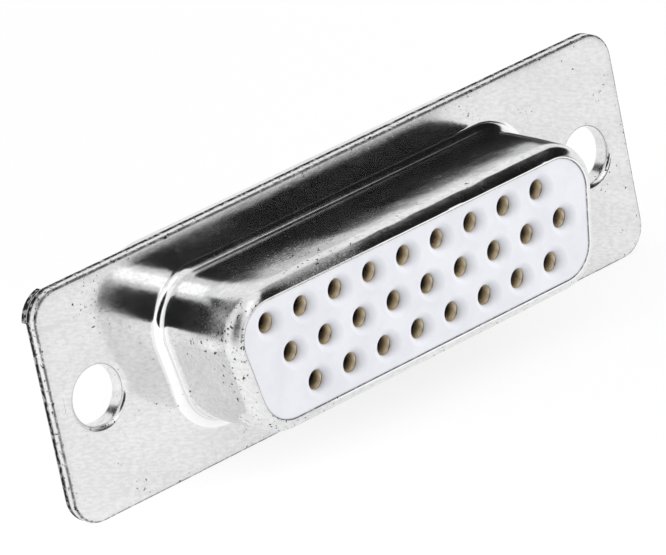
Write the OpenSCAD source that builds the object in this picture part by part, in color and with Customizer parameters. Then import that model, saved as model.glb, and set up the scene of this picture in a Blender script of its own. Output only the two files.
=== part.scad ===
// High-density D-sub connector, size A shell: 26 socket contacts in three rows, solder cups behind.
// Frame: origin on the front face of the flange, midway between the two mounting holes.
// +X runs along the flange, +Z is up (the long side of the D), and the plug comes in along +Y.
// The pieces are drawn in a mating frame whose own z axis points out of the mating face (-Y);
// "front" and "back" levels below are heights on that axis, 0 being the front face of the flange.

/* [Flange] */
// Length of the flange
flange_l = 39.0; // [37:0.1:42]
// Height of the flange
flange_h = 12.4; // [12:0.1:15]
// Radius of the flange corners
flange_corner_r = 1.6; // [0.5:0.1:2.5]
// Thickness of each of the two steel sheets
sheet_t = 0.4; // [0.3:0.05:0.5]
// Distance between the mounting holes
hole_spacing = 33.3; // [32.8:0.05:34]
// Radius of the mounting holes
hole_r = 1.525; // [1.4:0.025:1.65]
// Rounding at the front edge of each mounting hole
hole_entry_r = 0.3; // [0.1:0.05:0.3]
// Wall of the eyelet that is drawn through each mounting hole
eyelet_wall = 0.2; // [0.15:0.01:0.25]
// Radius of the eyelet rim that is pressed over the back sheet
eyelet_rim_r = 2.2; // [2.05:0.05:2.4]

/* [Mating shell] */
// Width of the mating shell across its widest part
shell_w = 24.66; // [24:0.02:25.2]
// Height of the mating shell
shell_h = 7.9; // [7.6:0.02:8.2]
// Corner radius of the mating shell
shell_corner_r = 2.6; // [2.2:0.1:3]
// Slope of the two short sides of the D, in degrees
side_slope = 10; // [6:1:12]
// How far the mating shell stands out of the flange
shell_projection = 5.7; // [5:0.1:6.2]
// Inside radius of the bend between flange and shell
root_r = 0.4; // [0.2:0.05:0.5]
// Outside radius of the turned-in front lip
lip_r = 0.9; // [0.7:0.05:1]
// How far the front lip reaches in over the insulator
lip_reach = 0.72; // [0.6:0.02:0.75]

/* [Back shell] */
// Width of the back shell across its widest part
tub_w = 27.5; // [26.9:0.1:28.2]
// Height of the back shell
tub_h = 10.7; // [10.4:0.1:11]
// Corner radius of the back shell
tub_corner_r = 3.4; // [3:0.1:4]
// Depth of the back shell behind the flange
tub_depth = 2.7; // [2.4:0.1:3.4]
// Outside radius of the bend at the bottom of the back shell
tub_bend_r = 0.6; // [0.55:0.05:0.8]
// Width of the rim around the window in the back shell
tub_rim = 1.3; // [1:0.1:1.6]
// How far the turned-back corner of the back sheet stands behind the flange
ear_depth = 0.4; // [0.3:0.1:1]

/* [Insulator] */
// How far the white face sits back from the front of the shell
face_inset = 0.1; // [0:0.02:0.3]
// Clearance between the insulators and the metal around them
fit_gap = 0.05; // [0.03:0.01:0.1]
// Depth behind the flange front where the two insulator halves meet
split_depth = 1.6; // [1.3:0.1:2]
// How far the back insulator stands out of the back shell
boss_out = 0.9; // [0.5:0.1:1.5]
// Radius of each contact opening in the white face
mouth_r = 0.52; // [0.45:0.01:0.55]
// Radius of the rounding that leads into each opening
lead_in_r = 0.45; // [0.3:0.01:0.5]
// Radius of the rim where the rounding meets the white face
lead_in_rim_r = 0.9; // [0.8:0.01:0.92]

/* [Contacts] */
// Distance between neighbouring contacts in a row
pitch = 2.29; // [2.2:0.01:2.35]
// Distance between neighbouring rows
row_pitch = 1.98; // [1.9:0.01:2.05]
// Radius of the contact barrel
barrel_r = 0.65; // [0.58:0.01:0.68]
// Radius of the bore that takes the pin
socket_r = 0.4; // [0.35:0.01:0.45]
// Depth of the bore that takes the pin
socket_depth = 4.6; // [4:0.1:5]
// Running gap between a contact and its cavity
contact_gap = 0.05; // [0.03:0.01:0.06]
// Radius of the collar that is held between the insulator halves
collar_r = 0.85; // [0.8:0.01:0.9]
// Length of that collar
collar_l = 0.6; // [0.4:0.05:0.7]
// Radius of the shank in the back insulator
shank_r = 0.48; // [0.42:0.01:0.52]
// Radius of the solder cup
cup_r = 0.6; // [0.54:0.01:0.66]
// Radius of the hole in the solder cup
cup_bore_r = 0.42; // [0.36:0.01:0.46]
// Length of the solder cup
cup_l = 3.0; // [2.4:0.1:3.4]
// Width of the spring slots in the contact barrel
slot_w = 0.18; // [0.12:0.01:0.25]

/* [Hidden] */
$fn = 64;
BEND_STEPS = 12;
GRID = 0.001;                       // corner centres lie on this grid
CONTACTS_IN_ROW = [9, 9, 8];
ROW_START = [0, 0.5, 1];            // where each row starts, in pitches
GRID_MIDDLE = 4.25;                 // the middle of the D, in pitches
CUP_OPENS_UP = [true, true, false]; // the bottom row is soldered from below

flange_back = -2 * sheet_t;
tub_back = flange_back - tub_depth;
face_level = shell_projection - face_inset;
split_level = -split_depth;
boss_back = tub_back - boss_out;
lip_step = shell_projection - lip_r;
lead_in_level = face_level - sqrt(pow(lead_in_r, 2) - pow(mouth_r + lead_in_r - lead_in_rim_r, 2));
mouth_land = 0.05;
cavity_r = barrel_r + contact_gap;
cavity_top = lead_in_level - mouth_land;
barrel_front = cavity_top - contact_gap;
collar_seat_r = collar_r + contact_gap;
collar_front = split_level + collar_l;
shank_hole_r = shank_r + contact_gap;
funnel_depth = 0.15;
funnel_r = (socket_r + barrel_r) / 2;
cup_front = boss_back - 2 * contact_gap;
cup_back = cup_front - cup_l;
cup_bore_depth = 0.8 * cup_l;
cup_window = 0.6 * cup_l;
slot_land = 0.6;                    // closed ring left in front of the spring slots
ear_margin = 8;                     // the ear stops this many degrees short of the straight edges
sink = 0.005;                       // how far a root bend sinks into its flange
slim = 0.005;                       // how much thinner the straight runs of a wall are on each face
lap = 0.02;                         // how far the straight runs lap into the corners
corner_ease = 0.1;                  // how much softer the corners of a flange's window are than its wall's
foot_h = 0.3;                       // height of the narrower foot inside the tub's bend
eyelet_back = flange_back - eyelet_wall;
eyelet_clear_r = hole_r + eyelet_wall + fit_gap;
eps = 0.01;                         // overlap that keeps cuts clean

SHELL_D = [shell_w, shell_h, shell_corner_r, side_slope];
TUB_D = [tub_w, tub_h, tub_corner_r, side_slope];
FLANGE_RECT = [flange_l, flange_h, flange_corner_r, 0];
inner_wall = sheet_t + fit_gap;     // how far inside a drawn wall an insulator stands

function two_digits(n) = str(n < 10 ? "0" : "", n);
function contact_name(n) = str("contact_", two_digits(n));
function row_of(n) = n <= CONTACTS_IN_ROW[0] ? 0 : n <= CONTACTS_IN_ROW[0] + CONTACTS_IN_ROW[1] ? 1 : 2;
function before_row(row) = row == 0 ? 0 : CONTACTS_IN_ROW[row - 1] + before_row(row - 1);
function contact_place(n) =
    let (row = row_of(n), column = n - 1 - before_row(row))
    [(ROW_START[row] + column - GRID_MIDDLE) * pitch, (1 - row) * row_pitch];

CONTACTS = [1 : before_row(3)];

// ---- rounded D outlines -------------------------------------------------------------------
// An outline is [width, height, corner radius, side slope]; a slope of 0 gives a rectangle.

function snap(x) = round(x / GRID) * GRID;

// Centres of the four corner arcs, counter-clockwise from the top right
function corner_centres(outline) =
    let (w = outline[0], h = outline[1], r = outline[2],
         top = snap(w / 2 - r), rise = snap(h / 2 - r), bottom = snap(top - 2 * rise * tan(outline[3])))
    [[top, rise], [-top, rise], [-bottom, -rise], [bottom, -rise]];

// The outward normal of the straight side that follows corner i
function side_normal(centres, i) =
    let (along = centres[(i + 1) % 4] - centres[i])
    (atan2(along[1], along[0]) + 270) % 360;

function on_arc(centre, r, angle) = centre + r * [cos(angle), sin(angle)];

// Points along a bend in a section, from one direction to another
function bend(centre, r, from, to) =
    [for (i = [0 : BEND_STEPS]) on_arc(centre, r, from + (to - from) * i / BEND_STEPS)];

// Points along corner i of the outline
function corner_arc(centres, i, r) =
    let (from = side_normal(centres, (i + 3) % 4), turn = (side_normal(centres, i) - from + 360) % 360)
    bend(centres[i], r, from, from + turn);

// The outline as a flat shape, moved outwards by grow
module outline_2d(outline, grow = 0) {
    centres = corner_centres(outline);
    r = outline[2] + grow;
    polygon([for (i = [0 : 3], point = corner_arc(centres, i, r)) point]);
}

// A straight block of the outline between two levels
module block(outline, grow, low, high) {
    translate([0, 0, low]) linear_extrude(high - low) outline_2d(outline, grow);
}

// The outline with softer corners, for the window in a flange that a root bend closes
function eased(outline) = [outline[0], outline[1], outline[2] + corner_ease, outline[3]];

// Runs a wall around the outline. Its section is a list of points, x outwards from the outline and y the
// level. The straight runs use the slimmer section and lap into the corners, so no two faces coincide.
module run_around(outline, section, slim_section) {
    centres = corner_centres(outline);
    for (i = [0 : 3]) {
        next = centres[(i + 1) % 4];
        from = side_normal(centres, (i + 3) % 4);
        normal = side_normal(centres, i);
        translate(centres[i]) rotate(from) rotate_extrude(angle = (normal - from + 360) % 360)
            translate([outline[2], 0]) polygon(section);
        translate(next) rotate(normal) rotate([90, 0, 0]) translate([outline[2], 0, -lap])
            linear_extrude(norm(next - centres[i]) + 2 * lap) polygon(slim_section);
    }
}

// ---- metal shells -------------------------------------------------------------------------

module mating_frame() {
    rotate([90, 0, 0]) children();
}

module at_mounting_holes() {
    for (side = [-1, 1]) translate([side * hole_spacing / 2, 0]) children();
}

// Section of the front sheet's wall: root bend sunk a little into the flange, wall, and the lip turned in
// at the front. Each face is pulled in by slim.
function front_section(slim) =
    let (root = [root_r, root_r - sink], lip = [-lip_r, lip_step], end = -lip_reach + slim,
         outer_r = lip_r - slim, inner_r = lip_r - sheet_t + slim)
    concat(
        bend(root, root_r + slim, 270, 180),
        bend(lip, outer_r, 0, acos((lip_r + end) / outer_r)),
        bend(lip, inner_r, acos((lip_r + end) / inner_r), 0),
        bend(root, root_r + sheet_t - 2 * sink - slim, 180, 270));

// Section of the eyelet drawn out of the front sheet: rounded entry, wall, and a rim behind the back sheet
module eyelet_section() {
    entry_r = hole_r + hole_entry_r;
    polygon(concat(
        bend([entry_r, -hole_entry_r], hole_entry_r, 90, 180),
        [[hole_r, eyelet_back], [eyelet_rim_r, eyelet_back], [eyelet_rim_r, flange_back],
         [hole_r + eyelet_wall, flange_back], [hole_r + eyelet_wall, -sheet_t], [entry_r, -sheet_t]]));
}

module front_shell() {
    color("gainsboro") mating_frame() {
        difference() {
            block(FLANGE_RECT, 0, -sheet_t, 0);
            block(eased(SHELL_D), 0.8 * root_r, -sheet_t - eps, eps);
            at_mounting_holes()
                translate([0, 0, -sheet_t - eps]) cylinder(r = hole_r + hole_entry_r, h = sheet_t + 2 * eps);
        }
        run_around(SHELL_D, front_section(0), front_section(slim));
        at_mounting_holes() rotate_extrude() eyelet_section();
    }
}

// Section of the back sheet's wall: root bend, wall, and the rim turned in around the window
function back_section(slim) =
    let (root = [root_r, flange_back - root_r + sink], foot = [-tub_bend_r, tub_back + tub_bend_r],
         outer_r = tub_bend_r - slim, inner_r = tub_bend_r - sheet_t + slim)
    concat(
        bend(root, root_r + slim, 90, 180),
        bend(foot, outer_r, 0, -90),
        [[-tub_rim + slim, tub_back + slim], [-tub_rim + slim, tub_back + sheet_t - slim]],
        bend(foot, inner_r, -90, 0),
        bend(root, root_r + sheet_t - 2 * sink - slim, 180, 90));

// The upper corner of the back sheet at -X, turned back in the press
module corner_ear() {
    centre = corner_centres(FLANGE_RECT)[1];
    translate(concat(centre, flange_back - ear_depth)) rotate(90 + ear_margin)
        rotate_extrude(angle = 90 - 2 * ear_margin)
        translate([flange_corner_r - sheet_t - fit_gap, 0]) square([sheet_t, ear_depth]);
}

module back_shell() {
    color("silver") mating_frame() {
        difference() {
            block(FLANGE_RECT, 0, flange_back, -sheet_t);
            block(eased(TUB_D), 0.8 * root_r, flange_back - eps, eps);
            at_mounting_holes()
                translate([0, 0, flange_back - eps]) cylinder(r = eyelet_clear_r, h = sheet_t + 2 * eps);
        }
        run_around(TUB_D, back_section(0), back_section(slim));
        corner_ear();
    }
}

// ---- insulators ---------------------------------------------------------------------------

module at_contacts() {
    for (n = CONTACTS) translate(contact_place(n)) children();
}

// Section of one cavity: rounded lead-in, mouth, barrel cavity and the seat of the collar
module cavity_section() {
    difference() {
        translate([0, lead_in_level]) square([lead_in_rim_r, face_level + eps - lead_in_level]);
        translate([mouth_r + lead_in_r, lead_in_level]) circle(lead_in_r);
    }
    translate([0, cavity_top - eps]) square([mouth_r, mouth_land + 2 * eps]);
    translate([0, collar_front - eps]) square([cavity_r, cavity_top + eps - collar_front]);
    translate([0, split_level - eps]) square([collar_seat_r, collar_l + eps]);
}

module front_insulator() {
    color("white") mating_frame() difference() {
        union() {
            block(TUB_D, -inner_wall, split_level, -sheet_t);
            block(SHELL_D, -inner_wall, -sheet_t, lip_step);
            block(SHELL_D, -lip_reach - fit_gap, lip_step, face_level);
        }
        at_contacts() rotate_extrude() cavity_section();
    }
}

module back_insulator() {
    color("whitesmoke") mating_frame() difference() {
        union() {
            block(TUB_D, -inner_wall, tub_back + sheet_t + foot_h, split_level);
            block(TUB_D, -tub_bend_r - fit_gap, tub_back + sheet_t, tub_back + sheet_t + foot_h);
            block(TUB_D, -tub_rim - fit_gap, boss_back, tub_back + sheet_t);
        }
        at_contacts() translate([0, 0, boss_back - eps])
            cylinder(r = shank_hole_r, h = split_level - boss_back + 2 * eps);
    }
}

// ---- contacts -----------------------------------------------------------------------------

// Half section of the turned contact, from the pin socket at the front to the solder cup
module contact_section() {
    difference() {
        union() {
            translate([0, collar_front]) square([barrel_r, barrel_front - collar_front]);
            translate([0, split_level]) square([collar_r, collar_l]);
            translate([0, cup_front]) square([shank_r, split_level - cup_front]);
            translate([0, cup_back]) square([cup_r, cup_l]);
        }
        translate([0, barrel_front - socket_depth]) square([socket_r, socket_depth + eps]);
        polygon([[0, barrel_front - funnel_depth], [socket_r, barrel_front - funnel_depth],
                 [funnel_r, barrel_front], [funnel_r, barrel_front + eps], [0, barrel_front + eps]]);
        translate([0, cup_back - eps]) square([cup_bore_r, cup_bore_depth + eps]);
    }
}

module contact(n) {
    place = contact_place(n);
    opens = CUP_OPENS_UP[row_of(n)] ? 1 : -1;
    slot_l = socket_depth - 2 * slot_land;
    color("goldenrod") mating_frame() translate(place) difference() {
        rotate_extrude() contact_section();
        translate([-barrel_r - eps, -slot_w / 2, barrel_front - slot_land - slot_l])
            cube([2 * (barrel_r + eps), slot_w, slot_l]);
        translate([-cup_r - eps, opens > 0 ? 0 : -cup_r - eps, cup_back - eps])
            cube([2 * (cup_r + eps), cup_r + eps, cup_window + eps]);
    }
}

front_shell();
back_shell();
front_insulator();
back_insulator();
for (n = CONTACTS) contact(n);
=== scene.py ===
"""Looks of a 26-way high-density D-sub socket connector with solder cups.

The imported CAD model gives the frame. Each sub-assembly below is a class that holds its sizes in
millimetres, builds its mesh and dresses it. "Level" is the distance in front of the
flange's front face, along -Y, as in the part's source.
"""
import logging
import math
from dataclasses import dataclass, field
from enum import Enum
from typing import ClassVar, NamedTuple, Sequence

import bmesh
import bpy
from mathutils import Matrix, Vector, noise


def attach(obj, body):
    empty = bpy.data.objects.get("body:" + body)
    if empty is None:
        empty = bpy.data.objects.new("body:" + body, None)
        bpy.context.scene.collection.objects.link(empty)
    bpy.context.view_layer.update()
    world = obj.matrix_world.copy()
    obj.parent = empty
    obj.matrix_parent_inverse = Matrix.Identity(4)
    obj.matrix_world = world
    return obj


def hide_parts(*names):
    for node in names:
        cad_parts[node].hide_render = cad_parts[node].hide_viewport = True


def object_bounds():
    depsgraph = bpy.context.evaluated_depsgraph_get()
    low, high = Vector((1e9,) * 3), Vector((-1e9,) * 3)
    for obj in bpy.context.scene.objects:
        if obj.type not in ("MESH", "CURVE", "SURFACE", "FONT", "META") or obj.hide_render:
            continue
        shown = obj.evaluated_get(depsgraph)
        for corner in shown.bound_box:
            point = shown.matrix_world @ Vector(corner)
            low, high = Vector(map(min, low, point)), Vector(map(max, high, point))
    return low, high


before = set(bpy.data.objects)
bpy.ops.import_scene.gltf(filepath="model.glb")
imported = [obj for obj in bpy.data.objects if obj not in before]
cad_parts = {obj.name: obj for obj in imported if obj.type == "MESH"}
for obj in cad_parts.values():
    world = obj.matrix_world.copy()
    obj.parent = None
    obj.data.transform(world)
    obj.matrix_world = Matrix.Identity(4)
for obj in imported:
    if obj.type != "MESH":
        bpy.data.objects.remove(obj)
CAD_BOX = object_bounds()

LOG = logging.getLogger("connector")
MM = 0.001
BODY = "root"
WEAR = "wear"
CUT = "cut"
WHITE = (1.0, 1.0, 1.0, 1.0)

Colour = tuple[float, float, float, float]
Ring = list[bmesh.types.BMVert]


# ---- sections and outlines ------------------------------------------------------------------


class Stop(NamedTuple):
    """One ring of a wall: how far outside the outline, at which level, how worn and how raw its cut is (on a
    contact, how much painted shade).

    Wear below 0 paints the plate brighter: a painted highlight in the front sheet's root bend and at the
    coined end of its lip.
    """

    grow: float
    level: float
    wear: float = 0.0
    cut: float = 0.0


def place(x: float, height: float, level: float) -> Vector:
    """A point from its place in the mating face and its level."""
    return Vector((x, -level, height))


def arc(centre: tuple[float, float], radius: float, start: float, end: float, steps: int,
        wear: tuple[float, float] = (0.0, 0.0), cut: float = 0.0) -> list[Stop]:
    """Stops along a bend of a section.

    Args:
        centre: grow and level of the bend's centre.
        radius: radius of the bend.
        start: direction of the first stop, in degrees.
        end: direction of the last stop, in degrees.
        steps: number of steps between them.
        wear: wear at the first and the last stop.
        cut: how raw the cut edge is in the middle of the bend; it fades towards both ends.

    Returns:
        The stops, both ends included.
    """
    stops = []
    for k in range(steps + 1):
        share = k / steps
        angle = math.radians(start + (end - start) * share)
        stops.append(Stop(centre[0] + radius * math.cos(angle), centre[1] + radius * math.sin(angle),
                          wear[0] + (wear[1] - wear[0]) * share, cut * math.sin(math.pi * share)))
    return stops


@dataclass(frozen=True)
class Outline:
    """A rounded D, or a rounded rectangle where the slope is 0."""

    width: float
    height: float
    corner_r: float
    slope: float = 0.0
    corner_steps: int = 16
    long_steps: int = 40
    short_steps: int = 10

    def centres(self) -> list[Vector]:
        """Centres of the corner arcs, counter-clockwise from the top right.

        Returns:
            The four centres, in the mating face.
        """
        top, rise = self.width / 2 - self.corner_r, self.height / 2 - self.corner_r
        bottom = top - 2 * rise * math.tan(math.radians(self.slope))
        return [Vector((top, rise)), Vector((-top, rise)), Vector((-bottom, -rise)), Vector((bottom, -rise))]

    def normal(self, side: int) -> float:
        """Outward direction, in degrees, of the straight side that follows a corner.

        Args:
            side: the corner it follows, counted from the top right.

        Returns:
            The direction, from 0 to 360.
        """
        centres = self.centres()
        along = centres[(side + 1) % 4] - centres[side % 4]
        return (math.degrees(math.atan2(along.y, along.x)) + 270) % 360

    def ring(self, stop: Stop) -> list[Vector]:
        """The outline's points at one stop of a section.

        Args:
            stop: where the ring lies.

        Returns:
            The points, counter-clockwise from the top right.
        """
        centres, radius, flat = self.centres(), self.corner_r + stop.grow, []
        for i, centre in enumerate(centres):
            start, after = self.normal(i - 1), self.normal(i)
            turn = (after - start) % 360
            for k in range(self.corner_steps + 1):
                angle = math.radians(start + turn * k / self.corner_steps)
                flat.append(centre + radius * Vector((math.cos(angle), math.sin(angle))))
            out = radius * Vector((math.cos(math.radians(after)), math.sin(math.radians(after))))
            steps = self.long_steps if i % 2 == 0 else self.short_steps
            flat += [(centre + out).lerp(centres[(i + 1) % 4] + out, k / steps) for k in range(1, steps)]
        return [place(p.x, p.y, stop.level) for p in flat]


@dataclass(frozen=True)
class Circle:
    """A round outline about one place in the mating face; its stops give radii."""

    x: float
    height: float
    steps: int = 64

    def ring(self, stop: Stop) -> list[Vector]:
        """The circle's points at one stop of a section.

        Args:
            stop: where the ring lies, with its radius as grow.

        Returns:
            The points, in order.
        """
        return [place(self.x + stop.grow * math.cos(2 * math.pi * k / self.steps),
                      self.height + stop.grow * math.sin(2 * math.pi * k / self.steps), stop.level)
                for k in range(self.steps)]


Shape = Outline | Circle


class Scuff(NamedTuple):
    """A worn spot of a surface, in millimetres."""

    where: tuple[float, float, float]
    radius: float
    amount: float


def make_object(name: str, bm: bmesh.types.BMesh, smooth: bool = True) -> bpy.types.Object:
    """Turns a mesh in the making into an object of the scene.

    Args:
        name: name of the object and of its mesh.
        bm: the mesh; it is freed.
        smooth: whether its faces are shaded smooth.

    Returns:
        The object.
    """
    mesh = bpy.data.meshes.new(name)
    bm.to_mesh(mesh)
    bm.free()
    if smooth:
        mesh.polygons.foreach_set("use_smooth", [True] * len(mesh.polygons))
    made = bpy.data.objects.new(name, mesh)
    bpy.context.scene.collection.objects.link(made)
    return made


class Bench:
    """A mesh in the making, in millimetres, with a wear and a cut value at each vertex."""

    def __init__(self) -> None:
        """Starts an empty mesh."""
        self.bm = bmesh.new()
        self.wear = self.bm.verts.layers.float.new(WEAR)
        self.cut = self.bm.verts.layers.float.new(CUT)

    def put(self, vert: bmesh.types.BMVert, point: Vector, stop: Stop) -> bmesh.types.BMVert:
        """Moves a vertex into place and gives it the stop's wear and cut."""
        vert.co, vert[self.wear], vert[self.cut] = point, stop.wear, stop.cut
        return vert

    def start(self, shape: Shape, stop: Stop) -> Ring:
        """Lays down a first closed ring.

        Args:
            shape: the outline that the ring follows.
            stop: where the ring lies.

        Returns:
            The ring.
        """
        ring = [self.put(self.bm.verts.new(), point, stop) for point in shape.ring(stop)]
        for here, after in zip(ring, ring[1:] + ring[:1]):
            self.bm.edges.new((here, after))
        return ring

    def edges(self, ring: Ring) -> list[bmesh.types.BMEdge]:
        """The edges that join a ring's neighbours."""
        return [self.bm.edges.get(pair) for pair in zip(ring, ring[1:] + ring[:1])]

    def extend(self, ring: Ring, shape: Shape, stop: Stop) -> Ring:
        """Extrudes a ring and moves the new one to the next stop of a section.

        Args:
            ring: the ring to extrude.
            shape: the outline that the wall follows.
            stop: where the new ring lies.

        Returns:
            The new ring.
        """
        made = bmesh.ops.extrude_edge_only(self.bm, edges=self.edges(ring))["geom"]
        fresh = {item for item in made if isinstance(item, bmesh.types.BMVert)}
        return [self.put(next(e.other_vert(old) for e in old.link_edges if e.other_vert(old) in fresh),
                         point, stop)
                for old, point in zip(ring, shape.ring(stop))]

    def wall(self, shape: Shape, stops: Sequence[Stop]) -> tuple[Ring, Ring]:
        """Grows a wall along a section.

        Args:
            shape: the outline that the wall follows.
            stops: the section.

        Returns:
            Its first and its last ring.
        """
        first = ring = self.start(shape, stops[0])
        for stop in stops[1:]:
            ring = self.extend(ring, shape, stop)
        return first, ring

    def fill(self, rings: Sequence[Ring]) -> None:
        """Fills the flat face between the rings given."""
        edges = [edge for ring in rings for edge in self.edges(ring)]
        bmesh.ops.triangle_fill(self.bm, edges=edges, use_beauty=True, normal=(0, -1, 0))

    def ripple(self, size: float, height: float, least_wear: float = -1.0) -> None:
        """Moves the vertices a little along their normals, as pressing leaves a sheet.

        Args:
            size: distance between ripples.
            height: height of the ripples.
            least_wear: only vertices that are worn more than this move.
        """
        self.bm.normal_update()
        for vert in self.bm.verts:
            if vert[self.wear] > least_wear:
                vert.co += vert.normal * height * noise.noise(vert.co / size)

    def scuff(self, spots: Sequence[Scuff]) -> None:
        """Raises the wear round the spots given.

        Args:
            spots: the worn spots.
        """
        for vert in self.bm.verts:
            for spot in spots:
                near = 1 - (vert.co - Vector(spot.where)).length / spot.radius
                if near > 0:
                    vert[self.wear] = max(vert[self.wear], spot.amount * min(1.0, 2 * near))

    def finish(self, name: str, sharp_deg: float = 40.0) -> bpy.types.Object:
        """Closes the mesh, turns it to metres and makes its object.

        Args:
            name: name of the object.
            sharp_deg: edges that turn more than this stay sharp.

        Returns:
            The object.
        """
        bmesh.ops.remove_doubles(self.bm, verts=self.bm.verts, dist=1e-5)
        bmesh.ops.recalc_face_normals(self.bm, faces=self.bm.faces)
        bmesh.ops.scale(self.bm, vec=(MM, MM, MM), verts=self.bm.verts)
        piece = make_object(name, self.bm)
        piece.data.set_sharp_from_angle(angle=math.radians(sharp_deg))
        return piece


class SubAssembly:
    """What the sub-assemblies share: the CAD node they replace and their material's slot."""

    NODE: ClassVar[str] = ""
    SLOT: ClassVar[str] = ""

    def add(self, material: bpy.types.Material) -> None:
        """Builds the piece and dresses it."""
        self.dress(self.build(), material, self.SLOT, self.NODE)

    @staticmethod
    def dress(piece: bpy.types.Object, material: bpy.types.Material, slot: str, node: str) -> None:
        """Gives a piece its material, hangs it under the body and hides the CAD node that it replaces.

        Args:
            piece: the object.
            material: its only material.
            slot: the frame's name for that material; not used.
            node: the CAD node that the piece replaces.
        """
        piece.data.materials.append(material)
        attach(piece, BODY)
        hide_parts(node)
        LOG.info("%s: %d faces, %s", piece.name, len(piece.data.polygons), material.name)


# ---- shader building ------------------------------------------------------------------------


class Graph:
    """A node tree in the making."""

    def __init__(self, tree: bpy.types.NodeTree) -> None:
        """Works on one node tree."""
        self.tree = tree

    def node(self, kind: str, inputs: dict[str | int, object] | None = None,
             **settings: object) -> bpy.types.Node:
        """Adds a node.

        Args:
            kind: the node's type name, without the ShaderNode prefix.
            inputs: what each input gets, by name or index: a socket to link, or a constant.
            settings: properties of the node.

        Returns:
            The new node.
        """
        made = self.tree.nodes.new(kind if kind.startswith("NodeGroup") else "ShaderNode" + kind)
        for key, value in settings.items():
            setattr(made, key, value)
        return self.feed(made, inputs or {})

    def feed(self, node: bpy.types.Node, inputs: dict[str | int, object]) -> bpy.types.Node:
        """Links or sets some of a node's inputs.

        Args:
            node: the node.
            inputs: what each input gets, by name or index: a socket to link, or a constant.

        Returns:
            The same node.
        """
        for key, value in inputs.items():
            if isinstance(value, bpy.types.NodeSocket):
                self.tree.links.new(value, node.inputs[key])
            else:
                node.inputs[key].default_value = value
        return node

    def group(self, tree: bpy.types.NodeTree, inputs: dict[str | int, object]) -> bpy.types.Node:
        """Places a node group, with its inputs linked or set."""
        return self.feed(self.node("Group", node_tree=tree), inputs)

    def math(self, operation: str, a: object, b: object = 0.0, clamp: bool = False) -> bpy.types.NodeSocket:
        """Adds a Math node and returns its value."""
        return self.node("Math", {0: a, 1: b}, operation=operation, use_clamp=clamp).outputs[0]

    def span(self, value: object, low: float, high: float, to_low: float = 0.0,
             to_high: float = 1.0) -> bpy.types.NodeSocket:
        """Maps a value from one span to another, with soft ends."""
        return self.node("MapRange", {0: value, 1: low, 2: high, 3: to_low, 4: to_high},
                         interpolation_type="SMOOTHSTEP").outputs[0]

    def noise(self, where: object, scale: float, detail: float = 2.0,
              roughness: float = 0.5) -> bpy.types.NodeSocket:
        """Adds a Noise Texture and returns its factor."""
        return self.node("TexNoise", {"Vector": where, "Scale": scale, "Detail": detail,
                                      "Roughness": roughness}).outputs[0]

    def mix(self, factor: object, a: object, b: object) -> bpy.types.NodeSocket:
        """Mixes two colours."""
        return self.node("Mix", {0: factor, 6: a, 7: b}, data_type="RGBA").outputs[2]

    def millimetres(self, stretch: tuple[float, float, float] = (1.0, 1.0, 1.0),
                    lean_deg: float = 0.0) -> bpy.types.NodeSocket:
        """Object coordinates in millimetres.

        Args:
            stretch: a share below 1 draws the pattern out along that axis.
            lean_deg: how far the drawn-out pattern leans down from +X, in the plane of the flange.

        Returns:
            The coordinates.
        """
        where = self.node("TexCoord").outputs["Object"]
        turned = self.node("Mapping", {"Vector": where, "Rotation": (0.0, -math.radians(lean_deg), 0.0)})
        return self.node("Mapping", {"Vector": turned.outputs[0],
                                     "Scale": tuple(s / MM for s in stretch)}).outputs[0]


class SharedEffects:
    """Node groups that several finishes use, each built once."""

    def __init__(self) -> None:
        """Builds the groups."""
        self.grain = self._grain()
        self.pits = self._pits()

    @staticmethod
    def _group(name: str, floats: dict[str, float],
               outputs: Sequence[str]) -> tuple[bpy.types.NodeTree, Graph, bpy.types.Node, bpy.types.Node]:
        """Starts a node group that takes a place and some numbers.

        Args:
            name: the group's name.
            floats: its number inputs, with their usual values.
            outputs: its number outputs.

        Returns:
            The group's tree, its graph, and its input and output nodes.
        """
        tree = bpy.data.node_groups.new(name, "ShaderNodeTree")
        tree.interface.new_socket("Where", in_out="INPUT", socket_type="NodeSocketVector")
        for label, value in floats.items():
            socket = tree.interface.new_socket(label, in_out="INPUT", socket_type="NodeSocketFloat")
            socket.default_value = value
        for label in outputs:
            tree.interface.new_socket(label, in_out="OUTPUT", socket_type="NodeSocketFloat")
        graph = Graph(tree)
        return tree, graph, graph.node("NodeGroupInput"), graph.node("NodeGroupOutput")

    def _grain(self) -> bpy.types.NodeTree:
        """Fine grain of a sheet or moulding, with a slow drift over it.

        Returns:
            The group.
        """
        tree, graph, given, result = self._group("fine_grain", {"Fine": 6.0, "Slow": 0.4}, ("Fine", "Slow"))
        where = given.outputs["Where"]
        graph.feed(result, {"Fine": graph.noise(where, given.outputs["Fine"]),
                            "Slow": graph.noise(where, given.outputs["Slow"], 3.0, 0.55)})
        return tree

    def _pits(self) -> bpy.types.NodeTree:
        """Small pits and specks, denser where Wear is high.

        Returns:
            The group.
        """
        tree, graph, given, result = self._group(
            "pits", {"Scale": 5.0, "Rare": 0.74, "Worn": 0.5, "Wear": 0.0}, ("Mask",))
        spots = graph.noise(given.outputs["Where"], given.outputs["Scale"], 3.0, 0.65)
        drop = graph.math("SUBTRACT", given.outputs["Rare"], given.outputs["Worn"])
        eased = graph.math("MULTIPLY", drop, given.outputs["Wear"])
        bar = graph.math("SUBTRACT", given.outputs["Rare"], eased)
        over = graph.math("SUBTRACT", spots, bar)
        graph.feed(result, {"Mask": graph.span(over, 0.0, 0.05)})
        return tree


def new_material(name: str) -> tuple[bpy.types.Material, Graph, bpy.types.Node]:
    """Makes a material and returns it with its graph and its shader.

    Args:
        name: name of the material.

    Returns:
        The material, its graph and its shader.
    """
    material = bpy.data.materials.new(name)
    material.use_nodes = True
    graph = Graph(material.node_tree)
    return material, graph, material.node_tree.nodes["Principled BSDF"]


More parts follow.
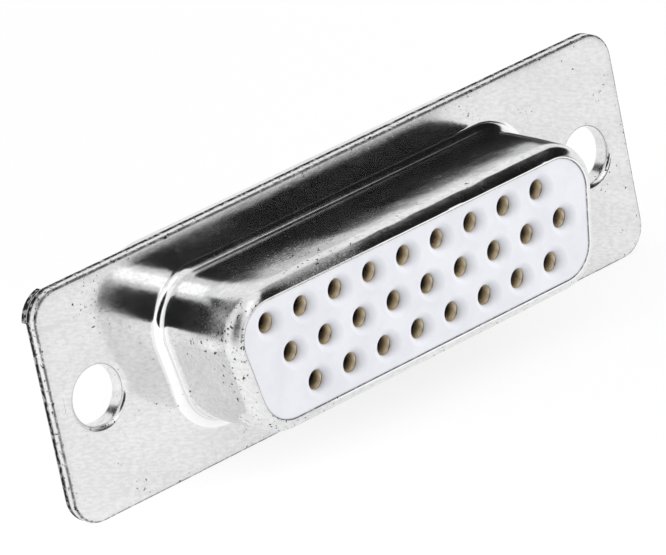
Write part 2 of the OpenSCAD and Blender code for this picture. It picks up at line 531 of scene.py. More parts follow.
@dataclass(frozen=True)
class PlatedSteel:
    """Drawn steel sheet with a bright tin plate.

    It has the short dashes of the rolling mill, slow smudges, stray specks, glints where the plate is grainy,
    worn edges, raw sheared edges, and a painted highlight: a brighter plate colour where the wear is below 0.
    """

    name: str
    bright: Colour = (0.86, 0.86, 0.86, 1.0)
    dull: Colour = (0.72, 0.72, 0.725, 1.0)
    bend_highlight: Colour = (0.99, 0.99, 0.99, 1.0)
    speck: Colour = (0.06, 0.06, 0.065, 1.0)
    raw: Colour = (0.03, 0.03, 0.032, 1.0)
    smooth: float = 0.06
    rough: float = 0.13
    relief: float = 0.0000003
    roll_lean: float = 21.4
    orange_peel: float = 7.0

    def material(self, effects: SharedEffects) -> bpy.types.Material:
        """Builds the material.

        Args:
            effects: the shared node groups.

        Returns:
            The material.
        """
        material, graph, shader = new_material(self.name)
        rolled = graph.millimetres((0.35, 1.0, 1.0), self.roll_lean)
        plain = graph.millimetres()
        used = graph.node("Attribute", attribute_name=WEAR).outputs["Fac"]
        wear = graph.math("MAXIMUM", used, 0.0)
        bend_highlight_mask = graph.math("MULTIPLY", used, -1.0, clamp=True)
        cut = graph.node("Attribute", attribute_name=CUT).outputs["Fac"]
        grain = graph.group(effects.grain, {"Where": rolled, "Fine": 7.0, "Slow": 0.45})
        patches = graph.span(graph.noise(plain, 0.35), 0.46, 0.62, 0.0, 0.85)
        pits = graph.group(effects.pits, {"Where": plain, "Scale": 4.5, "Rare": 0.74, "Worn": 0.59,
                                          "Wear": graph.math("MAXIMUM", wear, patches)}).outputs["Mask"]
        glints = graph.group(effects.pits, {"Where": plain, "Scale": 9.0, "Rare": 0.68, "Worn": 0.5,
                                            "Wear": wear}).outputs["Mask"]
        dashes = graph.span(grain.outputs["Fine"], 0.33, 0.67)
        smudge = graph.span(grain.outputs["Slow"], 0.3, 0.72)
        mottle = graph.noise(plain, 2.6, 3.0)
        shade = graph.math("ADD", graph.math("MULTIPLY", dashes, 0.6), graph.math("MULTIPLY", smudge, 0.4))
        shade = graph.math("SUBTRACT", shade, graph.span(mottle, 0.45, 0.7, 0.0, 0.35))
        # Below-zero wear turns the plate near white: a painted highlight in the bends.
        metal = graph.mix(bend_highlight_mask, graph.mix(shade, self.dull, self.bright), self.bend_highlight)
        torn = graph.math("MULTIPLY", cut, graph.span(graph.noise(plain, 4.0, 4.0), 0.5, 0.62, 1.0, 0.35))
        metal = graph.mix(torn, metal, self.raw)
        rough = graph.span(grain.outputs["Slow"], 0.3, 0.75, self.rough, self.smooth)
        for mask, amount in ((dashes, 0.02), (pits, 0.3), (glints, 0.12), (cut, 0.3), (wear, 0.18)):
            rough = graph.math("ADD", rough, graph.math("MULTIPLY", mask, amount), clamp=True)
        height = graph.math("SUBTRACT", graph.math("MULTIPLY", dashes, 0.4),
                            graph.math("MULTIPLY", pits, 2.0))
        height = graph.math("ADD", height, graph.math("MULTIPLY", mottle, self.orange_peel))
        bump = graph.node("Bump", {"Height": height, "Distance": self.relief, "Strength": 1.0})
        shader.inputs["Metallic"].default_value = 1.0
        graph.feed(shader, {"Base Color": graph.mix(pits, metal, self.speck), "Roughness": rough,
                            "Normal": bump.outputs[0]})
        return material


@dataclass(frozen=True)
class MouldedPlastic:
    """White moulded insulator: a faint eggshell texture and a few stray dark specks."""

    name: str
    colour: Colour = (0.86, 0.87, 0.91, 1.0)
    shade: Colour = (0.80, 0.81, 0.86, 1.0)
    speck: Colour = (0.16, 0.15, 0.15, 1.0)

    def material(self, effects: SharedEffects) -> bpy.types.Material:
        """Builds the material.

        Args:
            effects: the shared node groups.

        Returns:
            The material.
        """
        material, graph, shader = new_material(self.name)
        where = graph.millimetres()
        grain = graph.group(effects.grain, {"Where": where, "Fine": 7.0, "Slow": 0.5})
        specks = graph.group(effects.pits, {"Where": where, "Scale": 3.2, "Rare": 0.79}).outputs["Mask"]
        drift = graph.span(grain.outputs["Slow"], 0.3, 0.7)
        base = graph.mix(specks, graph.mix(drift, self.shade, self.colour), self.speck)
        rough = graph.span(grain.outputs["Fine"], 0.3, 0.7, 0.42, 0.52)
        bump = graph.node("Bump", {"Height": grain.outputs["Fine"], "Distance": 0.000003, "Strength": 0.5})
        graph.feed(shader, {"Base Color": base, "Roughness": rough, "Normal": bump.outputs[0]})
        return material


@dataclass(frozen=True)
class GoldPlate:
    """Flash gold over turned brass: turning marks round each contact, a dull, brownish drift, and painted
    shade deep in each socket.
    """

    name: str
    bright: Colour = (0.86, 0.76, 0.58, 1.0)
    dull: Colour = (0.72, 0.63, 0.48, 1.0)
    painted_bore_shade: Colour = (0.07, 0.06, 0.045, 1.0)

    def material(self, effects: SharedEffects) -> bpy.types.Material:
        """Builds the material.

        Args:
            effects: the shared node groups.

        Returns:
            The material.
        """
        material, graph, shader = new_material(self.name)
        turned = graph.millimetres((1.0, 6.0, 1.0))
        grain = graph.group(effects.grain, {"Where": turned, "Fine": 3.0, "Slow": 0.5})
        shade = graph.span(grain.outputs["Slow"], 0.3, 0.7)
        cut = graph.node("Attribute", attribute_name=CUT).outputs["Fac"]
        # The cut value paints the far inside of each socket near-black: painted shade in the bore.
        metal = graph.mix(cut, graph.mix(shade, self.dull, self.bright), self.painted_bore_shade)
        rough = graph.span(grain.outputs["Fine"], 0.3, 0.7, 0.36, 0.44)
        bump = graph.node("Bump", {"Height": grain.outputs["Fine"], "Distance": 0.000002, "Strength": 0.6})
        shader.inputs["Metallic"].default_value = 1.0
        graph.feed(shader, {"Base Color": metal, "Roughness": rough, "Normal": bump.outputs[0]})
        return material


# ---- sub-assemblies -------------------------------------------------------------------------


@dataclass
class Flange:
    """The flat flange that both sheets share, with its two mounting holes."""

    outline: Outline = field(default_factory=lambda: Outline(39.0, 12.4, 1.6, corner_steps=20))
    sheet: float = 0.4
    hole_spacing: float = 33.3
    hole_r: float = 1.525
    entry_r: float = 0.3
    eyelet_wall: float = 0.2
    eyelet_rim_r: float = 2.2
    fit_gap: float = 0.05
    roll_r: float = 0.13
    burr_r: float = 0.03
    edge_bands: tuple[float, ...] = (0.7, 0.45, 0.25)

    def holes(self) -> list[Circle]:
        """The two mounting holes."""
        return [Circle(side * self.hole_spacing / 2, 0.0, 72) for side in (-1, 1)]

    def edge(self, front: float, rolled_front: bool) -> list[Stop]:
        """Section of one sheet's edge, from its front face round to its back face.

        Args:
            front: level of the sheet's front face.
            rolled_front: whether the blanking roll is on the front. If it is on the back, the torn
                half of the edge shows, and its side is raw.

        Returns:
            The stops, front face first.
        """
        back = front - self.sheet
        front_r, back_r = (self.roll_r, self.burr_r) if rolled_front else (self.burr_r, self.roll_r)
        reach = self.edge_bands[0]
        bands = [Stop(-band, front, 1 - band / reach) for band in self.edge_bands]
        behind = [Stop(-band, back, 1 - band / reach) for band in reversed(self.edge_bands)]
        raw = 0.0 if rolled_front else 1.0
        side = [Stop(0.0, front - self.sheet * share, 1.0, raw)
                for share in ((0.45, 0.6) if rolled_front else (0.1, 0.4, 0.65))]
        return (bands + arc((-front_r, front - front_r), front_r, 90, 0, 8, (0.9, 1.0), 0.8) + side
                + arc((-back_r, back + back_r), back_r, 0, -90, 6, (1.0, 0.9), 0.8) + behind)

    def eyelet(self) -> list[Stop]:
        """Section of the eyelet drawn out of the front sheet, as radii.

        Returns:
            The stops of the section, in order.
        """
        entry, back = self.hole_r + self.entry_r, -2 * self.sheet
        outside = self.hole_r + self.eyelet_wall
        lip = back - self.eyelet_wall
        soft = 0.05
        return ([Stop(entry + 0.35, 0.0), Stop(entry + 0.12, 0.0, 0.2)]
                + arc((entry, -self.entry_r), self.entry_r, 90, 180, 12, (0.3, 0.5))
                + [Stop(self.hole_r, lip + 0.12, 0.5)]
                + arc((self.hole_r + 0.08, lip + 0.08), 0.08, 180, 270, 4, (0.5, 0.5))
                + arc((self.eyelet_rim_r - soft, lip + soft), soft, 270, 360, 4, (0.8, 0.8))
                + [Stop(self.eyelet_rim_r, back, 0.5), Stop(outside, back), Stop(outside, -self.sheet),
                   Stop(entry + 0.35, -self.sheet)])

    def clearance(self) -> list[Stop]:
        """Section of the hole in the back sheet that the eyelet passes through, as radii.

        Returns:
            The stops of the section, in order.
        """
        clear = self.hole_r + self.eyelet_wall + self.fit_gap
        front, back = -self.sheet, -2 * self.sheet
        return [Stop(clear + 0.4, back), Stop(clear + 0.02, back, 0.3), Stop(clear, back + 0.02, 0.3),
                Stop(clear, front), Stop(clear + 0.4, front)]


@dataclass
class FrontShell(SubAssembly):
    """The front sheet: flange, drawn D wall with its turned-in lip, and the two eyelets."""

    NODE = "front_shell"
    SLOT = "plated_steel"
    flange: Flange
    outline: Outline = field(default_factory=lambda: Outline(24.66, 7.9, 2.6, 10.0, corner_steps=24,
                                                             long_steps=60, short_steps=14))
    projection: float = 5.7
    root_r: float = 0.48
    lip_r: float = 0.9
    lip_reach: float = 0.72
    coin_from: float = 66.0
    barrel: float = 0.065
    barrel_from: float = 1.4
    dull_root_highlight_above: float = 3.7
    ripple_size: float = 1.3
    ripple_height: float = 0.012
    rippled_from_wear: float = 0.2
    scuffs: tuple[Scuff, ...] = (Scuff((-11.6, -5.2, 2.6), 2.2, 1.0), Scuff((-12.0, -5.0, 0.0), 2.4, 0.9),
                                 Scuff((-9.5, -5.3, -3.0), 2.6, 0.9), Scuff((-6.0, -5.0, 3.8), 3.6, 0.8))

    def wall_inset(self, level: float) -> float:
        """How far the drawn wall leans in at a level: it starts to curve well before the lip.

        Args:
            level: the level, in front of the flange.

        Returns:
            The inset, in millimetres.
        """
        step = self.projection - self.lip_r
        share = max(0.0, (level - self.barrel_from) / (step - self.barrel_from))
        return self.barrel * share ** 2

    def section(self) -> list[Stop]:
        """Section of the wall, from the flange's front face round the lip to its back face.

        Returns:
            The stops of the section, in order.
        """
        sheet, step = self.flange.sheet, self.projection - self.lip_r
        lean = self.wall_inset(step)
        lip = (-self.lip_r - lean, step)
        end = math.degrees(math.acos(1 - self.lip_reach / self.lip_r))
        inner = self.lip_r - sheet
        coin = (-self.lip_reach - lean + 0.05,
                step + self.lip_r * math.sin(math.radians(self.coin_from)) - 0.021)
        levels = [self.root_r + (step - self.root_r) * k / 24 for k in range(1, 24)]
        # The negative wear in the root bend and at the coined lip end paints a highlight there.
        return ([Stop(self.root_r + 0.35, 0.0), Stop(self.root_r + 0.1, 0.0)]
                + arc((self.root_r, self.root_r), self.root_r, 270, 180, 12, (-1.0, -0.4))
                + [Stop(-self.wall_inset(z), z, 0.36 * max(0.0, (z - 1.0) / (step - 1.0))) for z in levels]
                + arc(lip, self.lip_r, 0, self.coin_from, 15, (0.36, 0.05))
                + [Stop(coin[0] + 0.11, coin[1] + 0.041, 0.2), Stop(coin[0] + 0.06, coin[1] + 0.049, -0.8),
                   Stop(coin[0] + 0.03, coin[1] + 0.05, -0.8)]
                + arc(coin, 0.05, 90, 180, 4, (-0.5, 0.9), 0.9)
                + arc(lip, inner, end, 0, 8, (0.4, 0.0))
                + [Stop(-sheet - self.wall_inset(z), z) for z in reversed(levels[::6])]
                + arc((self.root_r, self.root_r), self.root_r + sheet, 180, 270, 8)
                + [Stop(self.root_r + 0.2, -sheet)])

    def build(self) -> bpy.types.Object:
        """Makes the sheet as one closed mesh.

        Returns:
            The object.
        """
        bench = Bench()
        wall_front, wall_back = bench.wall(self.outline, self.section())
        edge_front, edge_back = bench.wall(self.flange.outline, self.flange.edge(0.0, True))
        eyelets = [bench.wall(hole, self.flange.eyelet()) for hole in self.flange.holes()]
        bench.fill([edge_front, wall_front] + [front for front, _ in eyelets])
        bench.fill([edge_back, wall_back] + [back for _, back in eyelets])
        bench.ripple(self.ripple_size, self.ripple_height, self.rippled_from_wear)
        bench.scuff(self.scuffs)
        self.dull_root_highlight(bench)
        return bench.finish("front_shell_skin")

    def dull_root_highlight(self, bench: Bench) -> None:
        """Takes the painted highlight off the root bend along the top of the D.

        Args:
            bench: the mesh of the sheet.
        """
        for vert in bench.bm.verts:
            if vert.co.z > self.dull_root_highlight_above and vert.co.y > -2 * self.root_r and vert[bench.wear] < 0:
                vert[bench.wear] = 0.0


@dataclass
class BackShell(SubAssembly):
    """The back sheet: flange, drawn tub with a rimmed window, and one corner turned back."""

    NODE = "back_shell"
    SLOT = "plated_steel"
    flange: Flange
    outline: Outline = field(default_factory=lambda: Outline(27.5, 10.7, 3.4, 10.0, corner_steps=24,
                                                             long_steps=50, short_steps=14))
    depth: float = 2.7
    root_r: float = 0.4
    bend_r: float = 0.6
    rim: float = 1.3
    ear_depth: float = 0.4
    ear_margin: float = 8.0

    def section(self) -> list[Stop]:
        """Section of the tub, from the flange's back face round the window to its front face.

        Returns:
            The stops of the section, in order.
        """
        sheet = self.flange.sheet
        back = -2 * sheet
        bottom = back - self.depth
        root = (self.root_r, back - self.root_r)
        foot = (-self.bend_r, bottom + self.bend_r)
        soft = 0.06
        walls = [root[1] + (foot[1] - root[1]) * k / 6 for k in range(1, 6)]
        return ([Stop(self.root_r + 0.35, back), Stop(self.root_r + 0.1, back)]
                + arc(root, self.root_r, 90, 180, 10)
                + [Stop(0.0, z) for z in walls]
                + arc(foot, self.bend_r, 0, -90, 12, (0.2, 0.2))
                + [Stop(-self.rim + 0.3, bottom, 0.1)]
                + arc((-self.rim + soft, bottom + soft), soft, -90, -180, 4, (0.6, 0.6))
                + [Stop(-self.rim, bottom + sheet, 0.3), Stop(-self.bend_r - 0.1, bottom + sheet)]
                + arc(foot, self.bend_r - sheet, -90, 0, 4)
                + [Stop(-sheet, z) for z in reversed(walls[::2])]
                + arc(root, self.root_r + sheet, 180, 90, 8)
                + [Stop(self.root_r + 0.2, -sheet)])

    def ear(self, bench: Bench) -> None:
        """Adds the corner that the press turned back, as a rounded strip behind the flange's corner.

        Args:
            bench: the mesh of the sheet.
        """
        centre = self.flange.outline.centres()[1]
        back = -2 * self.flange.sheet
        outer = self.flange.outline.corner_r - self.flange.fit_gap
        inner, soft, steps = outer - self.flange.sheet, 0.08, 16
        profile = ([(outer, back + 0.02), (outer, back - self.ear_depth + soft)]
                   + [(outer - soft, back - self.ear_depth), (inner + soft, back - self.ear_depth)]
                   + [(inner, back - self.ear_depth + soft), (inner, back + 0.02)])
        start, turn = math.radians(90 + self.ear_margin), math.radians(90 - 2 * self.ear_margin)
        raw = Stop(0.0, 0.0, 1.0, 1.0)
        verts = [bench.put(bench.bm.verts.new(), place(centre.x + r * math.cos(start),
                                                       centre.y + r * math.sin(start), z), raw)
                 for r, z in profile]
        face = bench.bm.faces.new(verts)
        bmesh.ops.spin(bench.bm, geom=[face, *verts, *face.edges], angle=-turn, steps=steps,
                       axis=(0, 1, 0), cent=place(centre.x, centre.y, 0.0), use_duplicate=False)

    def build(self) -> bpy.types.Object:
        """Makes the sheet as one mesh.

        Returns:
            The object.
        """
        bench = Bench()
        wall_back, wall_front = bench.wall(self.outline, self.section())
        edge_front, edge_back = bench.wall(self.flange.outline, self.flange.edge(-self.flange.sheet, False))
        holes = [bench.wall(hole, self.flange.clearance()) for hole in self.flange.holes()]
        bench.fill([edge_back, wall_back] + [back for back, _ in holes])
        bench.fill([edge_front, wall_front] + [front for _, front in holes])
        self.ear(bench)
        return bench.finish("back_shell_skin")


class CupSide(Enum):
    """Which way a row's solder cups open."""

    UP = 1
    DOWN = -1


@dataclass(frozen=True)
class ContactGrid:
    """Where the contacts stand: three rows, each half a pitch further along."""

    pitch: float = 2.29
    row_pitch: float = 1.98
    rows: tuple[int, ...] = (9, 9, 8)
    starts: tuple[float, ...] = (0.0, 0.5, 1.0)
    middle: float = 4.25
    cups: tuple[CupSide, ...] = (CupSide.UP, CupSide.UP, CupSide.DOWN)

    def places(self) -> list[tuple[float, float, CupSide]]:
        """Each contact's place in the mating face, and how its cup opens.

        Returns:
            For each contact, its x, its height and its cup's side.
        """
        return [((self.starts[row] + column - self.middle) * self.pitch, (1 - row) * self.row_pitch,
                 self.cups[row])
                for row, count in enumerate(self.rows) for column in range(count)]


@dataclass
class FrontInsulator(SubAssembly):
    """The white moulding that holds the sockets, with a rounded lead-in at each opening."""

    NODE = "front_insulator"
    SLOT = "white_plastic"
    grid: ContactGrid
    shell: Outline
    tub: Outline
    face: float = 5.6
    step: float = 4.8
    back: float = -1.6
    sheet: float = 0.4
    wall_gap: float = 0.45
    nose_gap: float = 0.77
    mouth_r: float = 0.52
    lead_in_r: float = 0.45
    rim_r: float = 0.9
    cavity_r: float = 0.7
    seat_r: float = 0.9
    seat_l: float = 0.6
    land: float = 0.05

    def cavity(self) -> list[Stop]:
        """Section of one cavity, as radii, from the white face to the back.

        Returns:
            The stops of the section, in order.
        """
        middle = self.mouth_r + self.lead_in_r
        depth = math.sqrt(self.lead_in_r ** 2 - (middle - self.rim_r) ** 2)
        lead = self.face - depth
        top = lead - self.land
        start = math.degrees(math.acos((self.rim_r - middle) / self.lead_in_r))
        return ([Stop(self.rim_r + 0.07, self.face), Stop(self.rim_r + 0.02, self.face)]
                + arc((middle, lead), self.lead_in_r, start, 180, 12)
                + [Stop(self.mouth_r, top), Stop(self.cavity_r, top),
                   Stop(self.cavity_r, self.back + self.seat_l), Stop(self.seat_r, self.back + self.seat_l),
                   Stop(self.seat_r, self.back)])

    def build(self) -> bpy.types.Object:
        """Makes the moulding as one closed mesh.

        Returns:
            The object.
        """
        bench = Bench()
        soft = 0.06
        nose = ([Stop(-self.nose_gap - soft - 0.04, self.face)]
                + arc((-self.nose_gap - soft, self.face - soft), soft, 90, 0, 4)
                + [Stop(-self.nose_gap, self.step), Stop(-self.wall_gap, self.step),
                   Stop(-self.wall_gap, -self.sheet), Stop(-self.wall_gap - 0.2, -self.sheet)])
        base = [Stop(-self.wall_gap - 0.2, -self.sheet), Stop(-self.wall_gap, -self.sheet),
                Stop(-self.wall_gap, self.back), Stop(-self.wall_gap - 0.2, self.back)]
        face_ring, shoulder = bench.wall(self.shell, nose)
        shelf, back_ring = bench.wall(self.tub, base)
        cavities = [bench.wall(Circle(x, z, 48), self.cavity()) for x, z, _ in self.grid.places()]
        bench.fill([face_ring] + [front for front, _ in cavities])
        bench.fill([shelf, shoulder])
        bench.fill([back_ring] + [back for _, back in cavities])
        return bench.finish("front_insulator_moulding", 50.0)


@dataclass
class BackInsulator(SubAssembly):
    """The white moulding behind, which the solder cups come out of."""

    NODE = "back_insulator"
    SLOT = "white_plastic"
    grid: ContactGrid
    tub: Outline
    front: float = -1.6
    floor: float = -3.1
    foot_h: float = 0.3
    back: float = -4.4
    wall_gap: float = 0.45
    foot_gap: float = 0.65
    boss_gap: float = 1.35
    shank_hole_r: float = 0.53

    def build(self) -> bpy.types.Object:
        """Makes the moulding as one closed mesh.

        Returns:
            The object.
        """
        bench = Bench()
        soft = 0.12
        foot = self.floor + self.foot_h
        section = ([Stop(-self.wall_gap - 0.2, self.front), Stop(-self.wall_gap, self.front),
                    Stop(-self.wall_gap, foot), Stop(-self.foot_gap, foot), Stop(-self.foot_gap, self.floor),
                    Stop(-self.boss_gap, self.floor)]
                   + arc((-self.boss_gap - soft, self.back + soft), soft, 0, -90, 5)
                   + [Stop(-self.boss_gap - soft - 0.1, self.back)])
        rim = 0.08
        hole = ([Stop(self.shank_hole_r, self.front)]
                + arc((self.shank_hole_r + rim, self.back + rim), rim, 180, 270, 4)
                + [Stop(self.shank_hole_r + rim + 0.1, self.back)])
        front_ring, back_ring = bench.wall(self.tub, section)
        holes = [bench.wall(Circle(x, z, 40), hole) for x, z, _ in self.grid.places()]
        bench.fill([front_ring] + [front for front, _ in holes])
        bench.fill([back_ring] + [back for _, back in holes])
        return bench.finish("back_insulator_moulding", 50.0)


@dataclass
class SocketContact(SubAssembly):
    """A turned contact: pin socket in front, collar, shank, and a scooped solder cup behind.

    The CAD solid's barrel also has spring slots, inside the moulding. They are left out here.
    """

    SLOT = "gold_plate"
    barrel_r: float = 0.65
    barrel_front: float = 5.0555
    socket_r: float = 0.4
    socket_depth: float = 4.6
    funnel_r: float = 0.525
    funnel_depth: float = 0.15
    painted_shade_from: float = 1.1
    collar_r: float = 0.85
    collar_front: float = -1.0
    collar_back: float = -1.6
    shank_r: float = 0.48
    cup_front: float = -4.5
    cup_back: float = -7.5
    cup_r: float = 0.6
    bore_r: float = 0.42
    window: float = 1.8
    bore_depth: float = 2.4
    steps: int = 40

    def _spin(self, bench: Bench, profile: Sequence[tuple[float, ...]], start: float, angle: float,
              closed: bool, x: float, height: float) -> None:
        """Turns a profile of radii and levels about the contact's axis.

        Args:
            bench: the mesh to add to.
            profile: radius and level, then wear and cut where they matter.
            start: direction the profile starts in, in radians.
            angle: how far it turns, in radians.
            closed: whether the profile is a closed face, or an open line that turns all the way.
            x: the axis' place along the flange.
            height: the axis' height.
        """
        turned = Vector((math.cos(start), math.sin(start)))
        stops = [Stop(*point) for point in profile]
        verts = [bench.put(bench.bm.verts.new(), place(x + s.grow * turned.x, height + s.grow * turned.y,
                                                       s.level), s) for s in stops]
        pairs = list(zip(verts, verts[1:])) + ([(verts[-1], verts[0])] if closed else [])
        edges = [bench.bm.edges.new(pair) for pair in pairs]
        geom = [*verts, *edges]
        if closed:
            geom.append(bench.bm.faces.new(verts))
        bmesh.ops.spin(bench.bm, geom=geom, angle=angle, axis=(0, -1, 0), cent=place(x, height, 0.0),
                       steps=self.steps // 2 if closed else self.steps, use_merge=not closed,
                       use_duplicate=False)

    def build(self, name: str, x: float, height: float, side: CupSide) -> bpy.types.Object:
        """Makes one contact at its place in the grid.

        Args:
            name: name of the object.
            x: its place along the flange.
            height: its height.
            side: how its cup opens.

        Returns:
            The object.
        """
        bench = Bench()
        soft = 0.04
        rim = self.cup_back + self.window
        bottom = self.barrel_front - self.socket_depth
        # The bore stops with cut 1 paint the socket's far inside near-black: painted shade.
        turned = [(0.0, bottom, 0.0, 1.0), (self.socket_r, bottom, 0.0, 1.0),
                  (self.socket_r, self.barrel_front - self.painted_shade_from, 0.0, 1.0),
                  (self.socket_r, self.barrel_front - self.funnel_depth),
                  (self.funnel_r, self.barrel_front), (self.barrel_r - soft, self.barrel_front),
                  (self.barrel_r, self.barrel_front - soft), (self.barrel_r, self.collar_front),
                  (self.collar_r - soft, self.collar_front), (self.collar_r, self.collar_front - soft),
                  (self.collar_r, self.collar_back), (self.shank_r, self.collar_back),
                  (self.shank_r, self.cup_front), (self.cup_r - soft, self.cup_front),
                  (self.cup_r, self.cup_front - soft), (self.cup_r, rim), (self.bore_r, rim),
                  (self.bore_r, self.cup_back + self.bore_depth), (0.0, self.cup_back + self.bore_depth)]
        self._spin(bench, turned, 0.0, 2 * math.pi, False, x, height)
        scoop = [(self.cup_r, rim), (self.cup_r, self.cup_back + soft), (self.cup_r - soft, self.cup_back),
                 (self.bore_r + soft, self.cup_back), (self.bore_r, self.cup_back + soft), (self.bore_r, rim)]
        self._spin(bench, scoop, math.pi if side is CupSide.UP else 0.0, math.pi, True, x, height)
        return bench.finish(name)

    def add_at(self, node: str, x: float, height: float, side: CupSide, material: bpy.types.Material) -> None:
        """Builds one contact and dresses it in place of its CAD node."""
        self.dress(self.build(node + "_turned", x, height, side), material, self.SLOT, node)


# ---- studio ---------------------------------------------------------------------------------


@dataclass(frozen=True)
class Card:
    """A black or bright card that only reflections see: stops of azimuth, lowest and highest elevation."""

    name: str
    stops: tuple[tuple[float, float, float], ...]
    distance: float = 0.6
    feather_deg: float = 4.0
    tone: float = 0.012
    rows: int = 40
    columns: int = 80

    def build(self) -> bpy.types.Object:
        """Makes the card as a patch of a sphere with feathered edges. Azimuth 0 faces the front.

        Returns:
            The card.
        """
        bm = bmesh.new()
        fade = bm.verts.layers.float.new("fade")
        bmesh.ops.create_grid(bm, x_segments=self.columns, y_segments=self.rows, size=0.5)
        first, last, half = self.stops[0][0], self.stops[-1][0], self.feather_deg / 2
        for vert in bm.verts:
            across, up = vert.co.x + 0.5, vert.co.y + 0.5
            azimuth = first + (last - first) * across
            low, high = self._span(azimuth)
            low, high = low - half, high + half
            elevation = math.radians(low + (high - low) * up)
            turn = math.radians(azimuth)
            vert.co = self.distance * Vector((math.sin(turn) * math.cos(elevation),
                                              -math.cos(turn) * math.cos(elevation), math.sin(elevation)))
            border = min(min(across, 1 - across) * (last - first), min(up, 1 - up) * (high - low))
            vert[fade] = min(1.0, border / self.feather_deg)
        card = make_object(self.name, bm)
        for ray in ("camera", "diffuse", "shadow", "transmission", "volume_scatter"):
            setattr(card, "visible_" + ray, False)
        card.data.materials.append(self._material())
        return card

    def _span(self, azimuth: float) -> tuple[float, float]:
        """Lowest and highest elevation of the card at an azimuth.

        Args:
            azimuth: the azimuth, in degrees.

        Returns:
            The two elevations, in degrees.
        """
        for (a, low_a, high_a), (b, low_b, high_b) in zip(self.stops, self.stops[1:]):
            if azimuth <= b + 1e-6:
                share = (azimuth - a) / (b - a)
                return low_a + (low_b - low_a) * share, high_a + (high_b - high_a) * share
        return self.stops[-1][1:]

    def _material(self) -> bpy.types.Material:
        """One tone, fading out towards the card's edges.

        Returns:
            The material.
        """
        material = bpy.data.materials.new(self.name)
        material.use_nodes = True
        tree = material.node_tree
        tree.nodes.clear()
        graph = Graph(tree)
        plain = graph.node("Emission", {"Color": WHITE, "Strength": self.tone})
        clear = graph.node("BsdfTransparent")
        fade = graph.node("Attribute", attribute_name="fade").outputs["Fac"]
        mixed = graph.node("MixShader", {0: graph.span(fade, 0.0, 1.0), 1: clear.outputs[0],
                                         2: plain.outputs[0]})
        graph.node("OutputMaterial", {"Surface": mixed.outputs[0]})
        return material


@dataclass(frozen=True)
class Lamp:
    """A soft area lamp that lights the object but is not seen in its gloss."""

    name: str
    place_mm: tuple[float, float, float]
    size_mm: float
    watts: float

    def build(self) -> bpy.types.Object:
        """Makes the lamp and aims it at the connector.

        Returns:
            The lamp.
        """
        data = bpy.data.lights.new(self.name, "AREA")
        data.energy, data.size = self.watts, self.size_mm * MM
        lamp = bpy.data.objects.new(self.name, data)
        lamp.location = Vector(self.place_mm) * MM
        lamp.rotation_euler = (-lamp.location).to_track_quat("-Z", "Y").to_euler()
        lamp.visible_glossy = False
        bpy.context.scene.collection.objects.link(lamp)
        return lamp


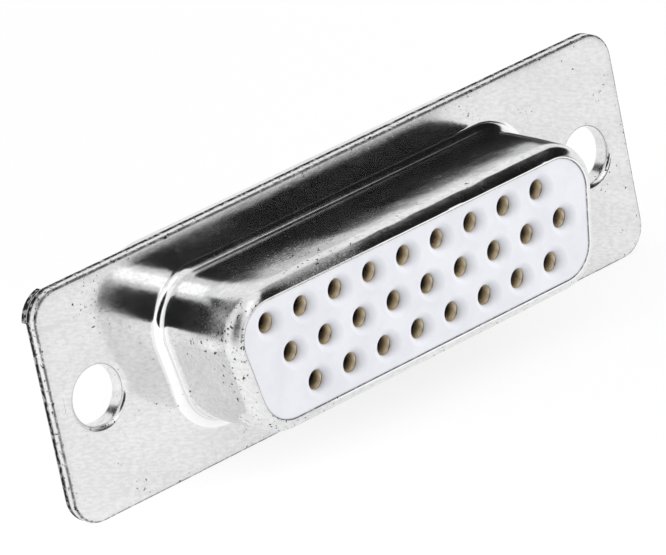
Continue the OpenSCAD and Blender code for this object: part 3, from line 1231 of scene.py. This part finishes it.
@dataclass
class Studio:
    """Floor, world, lamps, cards and camera."""

    floor_level: float
    camera_place_mm: tuple[float, float, float] = (-187.165, -245.054, 111.546)
    camera_turn_deg: tuple[float, float, float] = (69.7152, 10.9772, -41.2295)
    camera_lens_mm: float = 351.8
    ambient: float = 0.71
    floor_colour: Colour = (0.97, 0.97, 0.97, 1.0)
    floor_shade: Colour = (0.955, 0.955, 0.955, 1.0)
    floor_glow: float = 0.75
    glow_left: float = 1.25
    glow_right: float = 1.03
    glow_span_mm: tuple[float, float] = (-34.0, 4.0)

    def build(self) -> None:
        """Sets up everything round the object."""
        self._world()
        self._floor()
        for lamp in (Lamp("key_lamp", (420, -330, 240), 420, 1.2),
                     Lamp("top_lamp", (-60, -160, 520), 600, 0.45)):
            lamp.build()
        for card in (Card("left_flag", ((-64, 0, 40), (-50, -4, 46), (-30, -4, 46), (-17, -2, 40))),
                     Card("right_flag", ((21, 2, 27), (30, 2, 32), (37, 3, 42), (44, 4, 46), (52, 6, 50),
                                         (64, 10, 54), (80, 12, 58), (100, 14, 54))),
                     Card("low_flag", ((12, -5, 6), (58, -5, 6)), distance=0.07, feather_deg=2.0),
                     Card("ceiling_flag", ((-176, 36, 72), (-150, 32, 76), (-122, 38, 70))),
                     Card("front_light", ((-12, 26, 56), (17, 26, 56)), tone=1.7)):
            card.build()
        self._camera()

    @staticmethod
    def _seen(graph: Graph) -> bpy.types.NodeSocket:
        """1 where a surface is seen directly, in a reflection or through something clear.

        Args:
            graph: the graph to add to.

        Returns:
            The mask.
        """
        path = graph.node("LightPath")
        seen = graph.math("MAXIMUM", path.outputs["Is Camera Ray"], path.outputs["Is Glossy Ray"])
        return graph.math("MAXIMUM", seen, path.outputs["Is Transmission Ray"])

    def _world(self) -> None:
        """A white room for the camera and for reflections, and a soft pale ambient light."""
        world = bpy.data.worlds.new("white_room")
        bpy.context.scene.world = world
        world.use_nodes = True
        tree = world.node_tree
        tree.nodes.clear()
        graph = Graph(tree)
        seen = self._seen(graph)
        white = graph.node("Background", {"Color": WHITE, "Strength": 1.0})
        soft = graph.node("Background", {"Color": WHITE, "Strength": self.ambient})
        mixed = graph.node("MixShader", {0: seen, 1: soft.outputs[0], 2: white.outputs[0]})
        graph.node("OutputWorld", {"Surface": mixed.outputs[0]})

    def _floor(self) -> None:
        """A pale floor under the connector. For the camera and in reflections it glows, brighter towards -X:
        a painted pool of light.
        """
        bm = bmesh.new()
        bmesh.ops.create_grid(bm, x_segments=2, y_segments=2, size=3.0)
        bmesh.ops.translate(bm, verts=bm.verts, vec=(0, 0, self.floor_level))
        floor = make_object("floor", bm, smooth=False)
        material, graph, shader = new_material("pale_floor")
        drift = graph.noise(graph.millimetres(), 0.01)
        shader.inputs["Roughness"].default_value = 0.9
        shader.inputs["Specular IOR Level"].default_value = 0.0
        graph.feed(shader, {"Base Color": graph.mix(drift, self.floor_colour, self.floor_shade)})
        # The glow rises from glow_right to glow_left towards -X: a painted pool of light that the metal
        # reflects.
        across = graph.node("SeparateXYZ", {0: graph.millimetres()}).outputs[0]
        glow = graph.span(across, *self.glow_span_mm, self.glow_left, self.glow_right)
        white = graph.node("Emission", {"Color": WHITE, "Strength": glow})
        share = graph.math("MULTIPLY", self._seen(graph), self.floor_glow)
        mixed = graph.node("MixShader", {0: share, 1: shader.outputs[0], 2: white.outputs[0]})
        graph.tree.links.new(mixed.outputs[0], material.node_tree.nodes["Material Output"].inputs["Surface"])
        floor.data.materials.append(material)

    def _camera(self) -> None:
        """The camera, far off with a long lens, rolled a little."""
        data = bpy.data.cameras.new("camera")
        data.lens, data.sensor_width = self.camera_lens_mm, 36.0
        data.clip_start, data.clip_end = 0.01, 20.0
        camera = bpy.data.objects.new("camera", data)
        camera.location = Vector(self.camera_place_mm) * MM
        camera.rotation_euler = tuple(math.radians(a) for a in self.camera_turn_deg)
        bpy.context.scene.collection.objects.link(camera)
        bpy.context.scene.camera = camera


def main() -> None:
    """Builds the connector and the studio."""
    logging.basicConfig(level=logging.INFO, format="%(message)s")
    scene = bpy.context.scene
    scene.view_settings.view_transform = "Standard"
    effects = SharedEffects()
    steel_front = PlatedSteel("tin_plated_front").material(effects)
    steel_back = PlatedSteel("tin_plated_back", smooth=0.16, rough=0.3).material(effects)
    white = MouldedPlastic("white_moulding").material(effects)
    gold = GoldPlate("gold_plated_contact").material(effects)

    flange, grid = Flange(), ContactGrid()
    front, back = FrontShell(flange), BackShell(flange)
    front.add(steel_front)
    back.add(steel_back)
    FrontInsulator(grid, front.outline, back.outline).add(white)
    BackInsulator(grid, back.outline).add(white)
    for number, (x, height, side) in enumerate(grid.places(), 1):
        SocketContact().add_at(f"contact_{number:02d}", x, height, side, gold)

    Studio(CAD_BOX[0].z).build()


if __name__ == "__main__":
    main()
